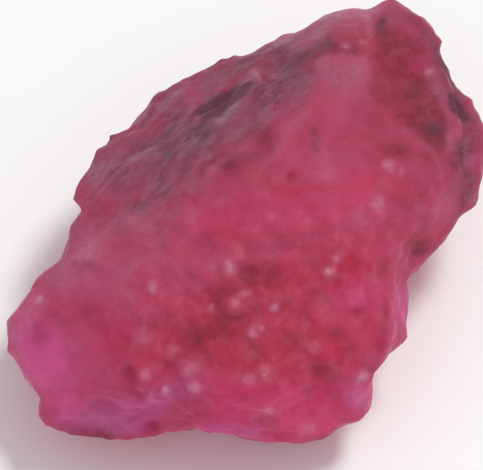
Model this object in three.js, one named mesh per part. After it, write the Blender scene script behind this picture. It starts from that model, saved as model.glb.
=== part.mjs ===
// A rough ruby: one broken lump of cloudy crystal, lying on a flat fracture.
// Millimetres, +Z up, the long axis along +X and the base on z = 0.
//
// The skin is one radius for every direction out of the lump's heart. Directions and
// places are written in the face frame: right, up and out, where out is square to the
// best face. The radius is the least of the fracture faces and of a barrel-shaped girdle
// that follows the outline, and the relief is added to it.
import * as THREE from "three";
import { mergeVertices } from "three/addons/utils/BufferGeometryUtils.js";

const panelQuads = 28; // squares along each side of the six panels that cover the ball
const ballHalves = [14, 9.5, 6]; // a stretched ball spaces the directions evenly
const ballTurn = THREE.MathUtils.degToRad(48); // its long axis, up from right

const heartHeight = 5.7; // the heart above the base
const faceTurn = THREE.MathUtils.degToRad(-50); // the best face looks this far round from -Y
const faceLift = THREE.MathUtils.degToRad(55); // and this far up
const girdleLean = 0.35; // the girdle leans back towards the base

const edgeEase = 0.12; // how softly faces meet
const shareEase = 0.5; // and how softly what they are like changes
const faceSpread = 1.15; // a face holds this far past its three points
const faceRelease = 0.1; // and lets go with the square of the way beyond
const grazing = 0.05; // a direction this nearly along a face never meets it
const farAway = 60;
const leastFace = 0.15; // with less of its share left, a face's coat fades out over the girdle
const lip = 0.1; // makes up for the softened edge along the outline
const barrel = 0.5; // how full the girdle is
const outlineDepth = 2.6; // the outline's small nicks fade over this depth
const nickSpan = 0.12; // radians between the samples that smooth them

const scallop = { size: 3.4, height: 0.75, least: 0.35, bias: 0.5, shift: 7.3, seed: 21 };
const swell = { size: 2.6, height: 0.3, seed: 41 };
const ledge = { pitch: 2.3, height: 0.4, rise: 0.3, grain: 0.64, waver: 0.8, waverSize: 2.9, seed: 11 };
const frontFrom = -0.3; // the listed relief starts this far out of the girdle's middle
const frontFull = 1.2; // and is whole from here
const spotFall = 1.1; // how quickly a pit or lump dies away past its radius
const creaseEnds = 0.2; // a crease sinks in over this share of its length
const creaseLeast = 0.3; // and keeps this much of its height there
const finestCrease = 0.5; // narrower creases are too small for this skin and are widened to this
const reliefShare = 0.85;
const girdleCalm = 0.7; // how much of the relief the girdle loses

const rubyRed = new THREE.Color(0xb0456a);

// The outline seen square to the best face: right, up.
const outline = [
  [7.35, 11.75], [7.95, 11.4], [8.65, 10.95], [9.6, 10.45], [10.0, 9.7], [9.8, 9.1],
  [10.35, 7.65], [10.9, 7.05], [11.4, 6.75], [11.9, 5.5], [12.1, 4.2], [11.9, 2.7],
  [11.5, 1.35], [10.7, 0.8], [10.35, 0.15], [9.6, -0.8], [8.0, -2.3], [8.15, -3.35],
  [8.0, -4.2], [8.05, -5.15], [7.0, -6.15], [6.4, -6.85], [6.4, -8.15], [6.25, -8.95],
  [5.55, -9.5], [4.55, -9.8], [3.85, -10.25], [3.1, -10.35], [1.3, -10.45], [-0.1, -10.25],
  [-2.4, -9.65], [-5.0, -10.15], [-6.75, -10.3], [-8.7, -10.0], [-9.8, -9.5], [-10.2, -9.0],
  [-10.15, -8.2], [-10.8, -7.25], [-11.7, -5.8], [-11.8, -4.35], [-10.85, -2.95], [-10.4, -2.3],
  [-9.8, -1.8], [-8.85, -1.2], [-8.65, 0.35], [-8.1, 1.1], [-8.6, 1.7], [-8.8, 2.5],
  [-8.35, 3.4], [-7.5, 3.8], [-7.4, 4.15], [-6.9, 4.4], [-6.75, 4.85], [-5.7, 5.25],
  [-5.3, 5.85], [-4.95, 6.3], [-4.7, 6.9], [-4.2, 7.25], [-2.4, 8.15], [-1.2, 8.85],
  [-0.55, 8.95], [0.0, 8.85], [1.0, 9.4], [1.9, 9.85], [2.7, 10.05], [3.2, 10.4],
  [3.95, 10.85], [4.95, 11.15], [6.2, 11.15], [6.85, 11.6],
];

// Fracture faces: three points on each, how rough it broke, and how much schist coats it.
const faces = [
  // the front
  { name: "schist face", at: [[-8.2, 1.3, 1.6], [-0.4, 6.0, 4.5], [-4.4, 6.8, 0.9]], rough: 0.55, coat: 1 },
  { name: "schist crest", at: [[-0.4, 6.0, 4.5], [3.2, 8.6, 3.9], [0.4, 9.2, 1.0]], rough: 0.8, coat: 0.8 },
  { name: "broad face", at: [[-3.1, 1.6, 4.9], [3.2, 8.5, 4.1], [0.3, -1.2, 6.1]], rough: 0.45, coat: 0.1 },
  { name: "right face", at: [[3.3, 8.4, 4.1], [8.8, 8.4, 2.6], [5.2, 1.0, 5.8]], rough: 0.4, coat: 0 },
  { name: "right hollow", at: [[6.6, 8.6, 3.0], [10.2, 5.0, 3.0], [6.4, 3.0, 5.0]], rough: 0.35, coat: 0 },
  { name: "peak", at: [[6.2, 9.6, 3.3], [9.3, 9.2, 2.0], [7.4, 11.7, 1.2]], rough: 0.35, coat: 0 },
  { name: "top rim", at: [[3.3, 9.4, 3.4], [6.4, 9.7, 3.2], [4.8, 11.1, 0.9]], rough: 0.9, coat: 0.35 },
  { name: "right rim", at: [[9.7, 7.6, 2.3], [10.6, 2.4, 2.7], [12.1, 4.6, 0.8]], rough: 0.7, coat: 0.3 },
  { name: "right slope", at: [[5.4, 0.8, 5.6], [10.8, 1.6, 2.6], [7.8, -1.8, 3.7]], rough: 0.8, coat: 0 },
  { name: "left shoulder", at: [[-8.9, 0.2, 1.7], [-3.1, 1.6, 4.9], [-4.8, -1.2, 5.0]], rough: 0.6, coat: 0.3 },
  { name: "left flank", at: [[-9.1, -1.0, 1.9], [-4.8, -1.2, 5.0], [-10.4, -3.6, 1.9]], rough: 0.7, coat: 0 },
  { name: "nose", at: [[-10.8, -4.3, 1.9], [-5.0, -4.2, 4.9], [-9.6, -7.2, 1.9]], rough: 0.5, coat: 0 },
  { name: "lower face", at: [[-5.0, -2.0, 5.4], [4.5, -2.2, 5.6], [-1.0, -7.2, 4.2]], rough: 1, coat: 0 },
  { name: "lower right", at: [[4.5, -2.2, 5.6], [6.9, -3.2, 3.9], [5.2, -7.4, 2.9]], rough: 0.9, coat: 0 },
  { name: "right strip", at: [[6.9, -3.1, 3.7], [6.7, -5.9, 2.9], [8.2, -4.4, 0.8]], rough: 0.5, coat: 0 },
  { name: "foot", at: [[-7.0, -8.2, 2.6], [0.5, -8.5, 3.4], [-3.0, -9.9, 0.9]], rough: 0.7, coat: 0 },
  { name: "foot right", at: [[0.5, -8.5, 3.4], [5.0, -8.2, 2.3], [3.4, -10.3, 0.7]], rough: 0.8, coat: 0 },
  // the back and the underside
  { name: "back upper", at: [[-3.6, 7.6, -0.9], [2.6, 10.3, -0.9], [0.0, 5.5, -7.4]], rough: 1, coat: 0.5 },
  { name: "back peak", at: [[3.9, 11.3, -0.7], [7.6, 12.0, -0.8], [5.0, 5.4, -7.6]], rough: 0.8, coat: 0.1 },
  { name: "back corner", at: [[7.6, 12.0, -0.8], [10.2, 9.5, -0.9], [6.6, 5.2, -7.2]], rough: 0.9, coat: 0 },
  { name: "back right", at: [[10.9, 7.4, -0.9], [12.4, 3.8, -0.9], [7.6, 3.2, -6.8]], rough: 1, coat: 0.1 },
  { name: "back right low", at: [[11.4, 1.2, -1.2], [8.6, -2.8, -1.2], [5.8, -0.5, -6.2]], rough: 1, coat: 0 },
  { name: "under foot right", at: [[8.4, -5.0, -0.9], [4.7, -9.8, -0.7], [4.2, -4.9, -5.2]], rough: 1, coat: 0 },
  { name: "under foot", at: [[3.0, -10.6, -0.6], [-5.0, -10.4, -0.6], [-1.0, -6.4, -4.7]], rough: 0.9, coat: 0 },
  { name: "under nose", at: [[-8.7, -10.1, -0.5], [-11.8, -6.0, -0.7], [-6.7, -5.0, -5.2]], rough: 0.9, coat: 0 },
  { name: "back nose", at: [[-12.1, -4.5, -0.8], [-9.7, -1.0, -1.0], [-6.8, -1.6, -5.6]], rough: 1, coat: 0.1 },
  { name: "back left", at: [[-9.1, 0.6, -1.0], [-7.7, 4.4, -1.0], [-4.8, 2.6, -6.3]], rough: 0.9, coat: 0.7 },
  { name: "back left upper", at: [[-7.4, 4.9, -0.9], [-4.4, 7.5, -0.9], [-3.2, 4.0, -7.0]], rough: 0.9, coat: 0.8 },
];
const girdleRough = 0.3;

// Pits and lumps on the front: right, up, radius, height.
const spots = [
  [9.2, 5.2, 1.1, -0.42], [8.4, 7.2, 0.95, -0.3], [6.9, 10.5, 0.5, -0.35], [7.9, 9.3, 0.9, -0.18],
  [-1.1, 3.5, 0.75, -0.32], [1.0, 4.5, 0.6, -0.22], [-1.1, 6.2, 0.6, -0.25], [-1.4, -4.8, 1.3, -0.5],
  [0.15, -2.0, 0.6, -0.38], [-1.9, -3.1, 0.6, -0.25], [-5.9, -7.1, 0.5, -0.38], [3.6, -6.9, 0.8, -0.34],
  [8.6, -0.8, 0.75, -0.3], [1.5, 8.2, 0.5, -0.22], [-4.6, -9.6, 0.45, -0.28], [5.6, -3.9, 0.7, -0.25],
  [-7.5, -5.0, 0.9, -0.22], [3.2, -4.6, 0.9, -0.2], [-9.9, -4.4, 0.5, -0.18], [-0.9, -1.6, 0.48, 0.26],
  [-0.45, -3.5, 0.45, 0.22], [0.35, -5.0, 0.45, 0.22], [-2.7, -6.8, 0.55, 0.3], [6.45, 1.15, 0.55, 0.24],
  [-2.25, -1.8, 0.6, 0.22], [1.0, -8.65, 0.5, 0.18], [4.0, -6.05, 0.6, 0.24], [3.4, 2.9, 0.6, 0.16],
  [-8.0, -6.6, 1.2, 0.25], [-7.0, -1.4, 0.8, 0.16], [5.4, -9.0, 0.7, 0.25], [1.0, 3.2, 0.5, 0.14],
];

// Troughs and ridges on the front: from, to, half width, height.
const creases = [
  [[-4.0, 5.3], [-0.2, 7.5], 0.34, -0.46], [[-3.9, 3.3], [0.1, 6.2], 0.3, 0.3],
  [[-3.1, 1.7], [-0.4, 4.9], 0.28, 0.2], [[-6.2, 3.2], [-4.5, 4.3], 0.22, 0.2],
  [[9.4, 8.2], [10.4, 6.4], 0.3, 0.3], [[10.4, 6.4], [10.5, 2.4], 0.34, 0.32],
  [[10.55, 6.9], [11.1, 5.8], 0.24, -0.5], [[11.1, 5.4], [11.0, 3.2], 0.22, -0.26],
  [[7.2, -2.5], [6.9, -5.8], 0.28, 0.24], [[3.65, 6.6], [3.85, 4.2], 0.2, -0.16],
  [[-1.1, 2.9], [3.2, 6.3], 0.3, 0.16], [[-9.0, -1.3], [-6.6, -1.3], 0.3, 0.2],
  [[-5.0, -8.2], [-2.0, -6.0], 0.4, 0.24], [[3.4, 8.8], [6.2, 9.0], 0.26, 0.2],
  [[-9.8, -8.0], [-6.4, -8.9], 0.3, -0.24], [[5.9, 11.0], [6.3, 9.4], 0.24, 0.24],
];

function ease(from, to, value) {
  const t = Math.min(1, Math.max(0, (value - from) / (to - from)));
  return t * t * (3 - 2 * t);
}

// A steady chance value for a whole-number cell, 0 to 1.
function chance(i, j, k, seed) {
  const value = Math.sin(i * 127.1 + j * 311.7 + k * 74.7 + seed * 53.3) * 43758.5453;
  return value - Math.floor(value);
}

// Smooth swells between the chance values of the eight cell corners, -1 to 1.
function swells(x, y, z, seed) {
  const [i, j, k] = [Math.floor(x), Math.floor(y), Math.floor(z)];
  const [u, v, w] = [ease(0, 1, x - i), ease(0, 1, y - j), ease(0, 1, z - k)];
  let total = 0;
  for (const a of [0, 1]) {
    for (const b of [0, 1]) {
      for (const c of [0, 1]) {
        const share = (a ? u : 1 - u) * (b ? v : 1 - v) * (c ? w : 1 - w);
        total += share * chance(i + a, j + b, k + c, seed);
      }
    }
  }
  return 2 * total - 1;
}

// Shallow dishes round scattered seeds, meeting in sharp ridges, as crystal breaks.
function scallops(x, y, z, seed) {
  const [i, j, k] = [Math.floor(x), Math.floor(y), Math.floor(z)];
  let least = Infinity;
  for (let a = i - 1; a <= i + 1; a += 1) {
    for (let b = j - 1; b <= j + 1; b += 1) {
      for (let c = k - 1; c <= k + 1; c += 1) {
        const dx = x - a - chance(a, b, c, seed);
        const dy = y - b - chance(a, b, c, seed + 1);
        const dz = z - c - chance(a, b, c, seed + 2);
        const bias = scallop.bias * chance(a, b, c, seed + 3);
        least = Math.min(least, dx * dx + dy * dy + dz * dz + bias);
      }
    }
  }
  return least - scallop.bias;
}

// Steps of the schist coat, -0.5 to 0.5: a sharp rise and a slow fall, across the coat's grain.
function ledges(x, y, z) {
  const waver = swells(x / ledge.waverSize, y / ledge.waverSize, z / ledge.waverSize, ledge.seed);
  const across = y * Math.cos(ledge.grain) - x * Math.sin(ledge.grain) + ledge.waver * waver;
  const step = across / ledge.pitch - Math.floor(across / ledge.pitch);
  return (ease(0, ledge.rise, step) * (1 - step)) / (1 - ledge.rise) - 0.5;
}

const planes = faces.map(({ at, rough, coat }) => {
  const points = at.map((point) => new THREE.Vector3(...point));
  const plane = new THREE.Plane().setFromCoplanarPoints(...points);
  if (plane.constant > 0) plane.negate();
  const middle = new THREE.Vector3();
  for (const point of points) middle.addScaledVector(point, 1 / 3);
  const spread = faceSpread * Math.max(...points.map((point) => point.distanceTo(middle)));
  return { normal: plane.normal, offset: -plane.constant, middle, spread, rough, coat };
});

function planeReach(plane, way) {
  const lean = way.dot(plane.normal);
  const reach = lean > grazing ? plane.offset / lean : farAway;
  const gone = way.clone().multiplyScalar(reach).distanceTo(plane.middle) - plane.spread;
  return Math.min(farAway, reach + faceRelease * Math.max(0, gone) ** 2);
}

// How far the outline is from the heart at an angle up from right.
function outlineReach(angle) {
  const x = Math.cos(angle);
  const y = Math.sin(angle);
  for (let n = 0; n < outline.length; n += 1) {
    const [ax, ay] = outline[n];
    const [bx, by] = outline[(n + 1) % outline.length];
    const holds = ax * y - ay * x <= 0 && bx * y - by * x > 0;
    if (holds && ax * x + ay * y > 0) {
      return (ax * (by - ay) - ay * (bx - ax)) / (x * (by - ay) - y * (bx - ax));
    }
  }
  return 0;
}

// The girdle: a barrel that bulges to the outline at its waist.
function girdleReach(way) {
  const angle = Math.atan2(way.y, way.x);
  const flat = Math.hypot(way.x, way.y) + 1e-9;
  const sharp = outlineReach(angle);
  let smooth = 0;
  for (const step of [-2, -1, 0, 1, 2]) smooth += outlineReach(angle + step * nickSpan) / 5;
  const keep = Math.exp(-(((sharp * way.z) / flat / outlineDepth) ** 2));
  const waist = smooth + (sharp - smooth) * keep + lip;
  const bulge = 2 * barrel * way.z ** 2 + 1e-9;
  return (waist * (Math.sqrt(flat ** 2 + 2 * bulge) - flat)) / bulge;
}

// The plain lump: a softened least of all reaches, and what the surface there is like.
function lump(way) {
  const reaches = [...planes.map((plane) => planeReach(plane, way)), girdleReach(way)];
  const least = Math.min(...reaches);
  const sum = reaches.reduce((total, reach) => total + Math.exp((least - reach) / edgeEase), 0);
  const shares = reaches.map((reach) => Math.exp((least - reach) / shareEase));
  const whole = shares.reduce((total, share) => total + share, 0);
  const girdle = shares[planes.length] / whole;
  let rough = girdle * girdleRough;
  let coat = 0;
  planes.forEach((plane, n) => {
    rough += (shares[n] / whole) * plane.rough;
    coat += (shares[n] / whole) * plane.coat;
  });
  coat = Math.min(1, coat / Math.max(1 - girdle, leastFace));
  return { radius: least - edgeEase * Math.log(sum), rough, coat, girdle };
}

function relief(x, y, z, { rough, coat, girdle }) {
  const front = ease(frontFrom, frontFull, z);
  let move = 0;
  for (const [right, up, radius, height] of spots) {
    move += front * height * Math.exp(-spotFall * (Math.hypot(x - right, y - up) / radius) ** 2);
  }
  for (const [[ax, ay], [bx, by], halfWidth, height] of creases) {
    const [dx, dy] = [bx - ax, by - ay];
    const along = Math.min(1, Math.max(0, ((x - ax) * dx + (y - ay) * dy) / (dx * dx + dy * dy)));
    const away = Math.hypot(x - ax - along * dx, y - ay - along * dy) / Math.max(halfWidth, finestCrease);
    const whole = ease(0, creaseEnds, along) * ease(1, 1 - creaseEnds, along);
    move += front * height * Math.exp(-(away ** 2)) * (creaseLeast + (1 - creaseLeast) * whole);
  }
  move += coat * ledge.height * ledges(x, y, z);
  const dish = [x, y, z].map((value) => value / scallop.size + scallop.shift);
  const dished = scallop.least + (1 - scallop.least) * rough;
  move += dished * scallop.height * scallops(...dish, scallop.seed);
  const wave = [x, y, z].map((value) => value / swell.size);
  move += swell.height * swells(...wave, swell.seed);
  return move * (1 - girdleCalm * girdle) * reliefShare;
}

// The face frame's three axes in the part's own frame, the girdle's lean included.
const right = new THREE.Vector3(Math.cos(faceTurn), Math.sin(faceTurn), 0);
const out = new THREE.Vector3(
  Math.sin(faceTurn) * Math.cos(faceLift),
  -Math.cos(faceTurn) * Math.cos(faceLift),
  Math.sin(faceLift),
);
const up = new THREE.Vector3().crossVectors(out, right).addScaledVector(out, -girdleLean);
const faceFrame = new THREE.Matrix4().makeBasis(right, up, out);

// Six panels of a cube, spread evenly by angle, then stretched along the lump's long axis.
const skin = new THREE.BoxGeometry(2, 2, 2, panelQuads, panelQuads, panelQuads);
skin.deleteAttribute("normal");
skin.deleteAttribute("uv");
const ruby = mergeVertices(skin, 1e-6);
const place = ruby.getAttribute("position");
const way = new THREE.Vector3();
for (let n = 0; n < place.count; n += 1) {
  way.fromBufferAttribute(place, n);
  way.set(...way.toArray().map((value) => Math.tan((value * Math.PI) / 4))).normalize();
  way.multiply(new THREE.Vector3(...ballHalves));
  way.applyAxisAngle(new THREE.Vector3(0, 0, 1), ballTurn).normalize();

  const plain = lump(way);
  const at = way.clone().multiplyScalar(plain.radius);
  let radius = plain.radius + relief(at.x, at.y, at.z, plain);

  // The flat base cuts every radius that would pass under it.
  const spoke = way.clone().applyMatrix4(faceFrame);
  if (spoke.z < 0) radius = Math.min(radius, heartHeight / -spoke.z);
  spoke.multiplyScalar(radius);
  place.setXYZ(n, spoke.x, spoke.y, spoke.z + heartHeight);
}

// The middle of the base's box is the part's origin.
ruby.computeBoundingBox();
const middle = ruby.boundingBox.getCenter(new THREE.Vector3());
ruby.translate(-middle.x, -middle.y, -ruby.boundingBox.min.z);
ruby.computeVertexNormals();

const stone = new THREE.Mesh(
  ruby,
  new THREE.MeshStandardMaterial({ color: rubyRed, roughness: 0.45, metalness: 0, flatShading: true }),
);
stone.name = "rough_ruby";

const part = new THREE.Group();
part.add(stone);
export default part;
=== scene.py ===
# Rough ruby: a broken lump of cloudy crystal, its finish, and a plain studio round it.
# Shapes are in millimetres until they are put into a mesh; the scene is in metres.
import bpy
import numpy as np
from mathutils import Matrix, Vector


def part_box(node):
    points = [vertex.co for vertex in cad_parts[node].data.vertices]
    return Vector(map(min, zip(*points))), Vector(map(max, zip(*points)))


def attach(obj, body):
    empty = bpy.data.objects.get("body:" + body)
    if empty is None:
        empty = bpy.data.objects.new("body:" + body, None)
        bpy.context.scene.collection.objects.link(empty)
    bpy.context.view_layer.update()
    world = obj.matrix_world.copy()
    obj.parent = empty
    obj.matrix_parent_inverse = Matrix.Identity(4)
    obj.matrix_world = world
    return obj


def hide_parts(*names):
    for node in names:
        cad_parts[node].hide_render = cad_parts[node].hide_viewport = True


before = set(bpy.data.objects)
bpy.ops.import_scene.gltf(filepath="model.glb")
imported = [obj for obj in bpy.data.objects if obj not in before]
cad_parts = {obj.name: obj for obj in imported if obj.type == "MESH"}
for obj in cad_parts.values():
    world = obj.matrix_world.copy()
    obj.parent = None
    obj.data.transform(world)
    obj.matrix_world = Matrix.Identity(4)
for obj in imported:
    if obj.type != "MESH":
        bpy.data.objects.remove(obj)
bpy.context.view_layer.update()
mm = 0.001

# Places on the stone are in its face frame: right, up and out, with out square to the best face.
stone = dict(
    panelQuads=126,  # squares along each side of the six panels that cover the ball
    ballHalves=(14.0, 9.5, 6.0),  # a stretched ball spaces the directions evenly
    ballTurn=48.0,  # its long axis, up from right
    heartHeight=5.7,  # every radius starts at the heart, this far above the base
    faceTurn=-50.0,  # the best face looks this far round from -Y
    faceLift=55.0,  # and this far up
    girdleLean=0.35,  # the girdle leans back towards the base
    edgeEase=0.12,  # how softly faces meet
    shareEase=0.5,  # and how softly what they are like changes
    faceSpread=1.15,  # a face holds this far past its three points
    faceRelease=0.1,  # and lets go with the square of the way beyond
    grazing=0.05,  # a direction this nearly along a face never meets it
    farAway=60.0,  # its reach there
    leastFace=0.15,  # with less of its share left, a face's coat fades out over the girdle
    lip=0.1,  # makes up for the softened edge along the outline
    barrel=0.5,  # how full the girdle is
    outlineDepth=2.6,  # the outline's nicks fade over this depth
    nickSpan=0.12,  # radians between the samples that smooth them
    nickSamples=2,  # and how many samples on each side
    girdleRough=0.3,
    girdleCalm=0.7,  # how much of the relief the girdle loses
    reliefShare=0.85,
    weldSteps=1e6,  # panel corners that agree to one of these steps are one point
    tiny=1e-9,  # keeps a division off nought
)

outline = np.array([  # seen square to the best face, from the peak down the right side
    (7.35, 11.75), (7.95, 11.4), (8.65, 10.95), (9.6, 10.45), (10.0, 9.7), (9.8, 9.1),
    (10.35, 7.65), (10.9, 7.05), (11.4, 6.75), (11.9, 5.5), (12.1, 4.2), (11.9, 2.7),
    (11.5, 1.35), (10.7, 0.8), (10.35, 0.15), (9.6, -0.8), (8.0, -2.3), (8.15, -3.35),
    (8.0, -4.2), (8.05, -5.15), (7.0, -6.15), (6.4, -6.85), (6.4, -8.15), (6.25, -8.95),
    (5.55, -9.5), (4.55, -9.8), (3.85, -10.25), (3.1, -10.35), (1.3, -10.45), (-0.1, -10.25),
    (-2.4, -9.65), (-5.0, -10.15), (-6.75, -10.3), (-8.7, -10.0), (-9.8, -9.5), (-10.2, -9.0),
    (-10.15, -8.2), (-10.8, -7.25), (-11.7, -5.8), (-11.8, -4.35), (-10.85, -2.95), (-10.4, -2.3),
    (-9.8, -1.8), (-8.85, -1.2), (-8.65, 0.35), (-8.1, 1.1), (-8.6, 1.7), (-8.8, 2.5),
    (-8.35, 3.4), (-7.5, 3.8), (-7.4, 4.15), (-6.9, 4.4), (-6.75, 4.85), (-5.7, 5.25),
    (-5.3, 5.85), (-4.95, 6.3), (-4.7, 6.9), (-4.2, 7.25), (-2.4, 8.15), (-1.2, 8.85),
    (-0.55, 8.95), (0.0, 8.85), (1.0, 9.4), (1.9, 9.85), (2.7, 10.05), (3.2, 10.4),
    (3.95, 10.85), (4.95, 11.15), (6.2, 11.15), (6.85, 11.6)])

faces = {  # three points on each fracture face, how rough it broke, how much schist coats it
    "schist face": ([(-8.2, 1.3, 1.6), (-0.4, 6.0, 4.5), (-4.4, 6.8, 0.9)], 0.55, 1.0),
    "schist crest": ([(-0.4, 6.0, 4.5), (3.2, 8.6, 3.9), (0.4, 9.2, 1.0)], 0.8, 0.8),
    "broad face": ([(-3.1, 1.6, 4.9), (3.2, 8.5, 4.1), (0.3, -1.2, 6.1)], 0.45, 0.1),
    "right face": ([(3.3, 8.4, 4.1), (8.8, 8.4, 2.6), (5.2, 1.0, 5.8)], 0.4, 0.0),
    "right hollow": ([(6.6, 8.6, 3.0), (10.2, 5.0, 3.0), (6.4, 3.0, 5.0)], 0.35, 0.0),
    "peak": ([(6.2, 9.6, 3.3), (9.3, 9.2, 2.0), (7.4, 11.7, 1.2)], 0.35, 0.0),
    "top rim": ([(3.3, 9.4, 3.4), (6.4, 9.7, 3.2), (4.8, 11.1, 0.9)], 0.9, 0.35),
    "right rim": ([(9.7, 7.6, 2.3), (10.6, 2.4, 2.7), (12.1, 4.6, 0.8)], 0.7, 0.3),
    "right slope": ([(5.4, 0.8, 5.6), (10.8, 1.6, 2.6), (7.8, -1.8, 3.7)], 0.8, 0.0),
    "left shoulder": ([(-8.9, 0.2, 1.7), (-3.1, 1.6, 4.9), (-4.8, -1.2, 5.0)], 0.6, 0.3),
    "left flank": ([(-9.1, -1.0, 1.9), (-4.8, -1.2, 5.0), (-10.4, -3.6, 1.9)], 0.7, 0.0),
    "nose": ([(-10.8, -4.3, 1.9), (-5.0, -4.2, 4.9), (-9.6, -7.2, 1.9)], 0.5, 0.0),
    "lower face": ([(-5.0, -2.0, 5.4), (4.5, -2.2, 5.6), (-1.0, -7.2, 4.2)], 1.0, 0.0),
    "lower right": ([(4.5, -2.2, 5.6), (6.9, -3.2, 3.9), (5.2, -7.4, 2.9)], 0.9, 0.0),
    "right strip": ([(6.9, -3.1, 3.7), (6.7, -5.9, 2.9), (8.2, -4.4, 0.8)], 0.5, 0.0),
    "foot": ([(-7.0, -8.2, 2.6), (0.5, -8.5, 3.4), (-3.0, -9.9, 0.9)], 0.7, 0.0),
    "foot right": ([(0.5, -8.5, 3.4), (5.0, -8.2, 2.3), (3.4, -10.3, 0.7)], 0.8, 0.0),
    "back upper": ([(-3.6, 7.6, -0.9), (2.6, 10.3, -0.9), (0.0, 5.5, -7.4)], 1.0, 0.5),
    "back peak": ([(3.9, 11.3, -0.7), (7.6, 12.0, -0.8), (5.0, 5.4, -7.6)], 0.8, 0.1),
    "back corner": ([(7.6, 12.0, -0.8), (10.2, 9.5, -0.9), (6.6, 5.2, -7.2)], 0.9, 0.0),
    "back right": ([(10.9, 7.4, -0.9), (12.4, 3.8, -0.9), (7.6, 3.2, -6.8)], 1.0, 0.1),
    "back right low": ([(11.4, 1.2, -1.2), (8.6, -2.8, -1.2), (5.8, -0.5, -6.2)], 1.0, 0.0),
    "under foot right": ([(8.4, -5.0, -0.9), (4.7, -9.8, -0.7), (4.2, -4.9, -5.2)], 1.0, 0.0),
    "under foot": ([(3.0, -10.6, -0.6), (-5.0, -10.4, -0.6), (-1.0, -6.4, -4.7)], 0.9, 0.0),
    "under nose": ([(-8.7, -10.1, -0.5), (-11.8, -6.0, -0.7), (-6.7, -5.0, -5.2)], 0.9, 0.0),
    "back nose": ([(-12.1, -4.5, -0.8), (-9.7, -1.0, -1.0), (-6.8, -1.6, -5.6)], 1.0, 0.1),
    "back left": ([(-9.1, 0.6, -1.0), (-7.7, 4.4, -1.0), (-4.8, 2.6, -6.3)], 0.9, 0.7),
    "back left upper": ([(-7.4, 4.9, -0.9), (-4.4, 7.5, -0.9), (-3.2, 4.0, -7.0)], 0.9, 0.8),
}

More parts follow.
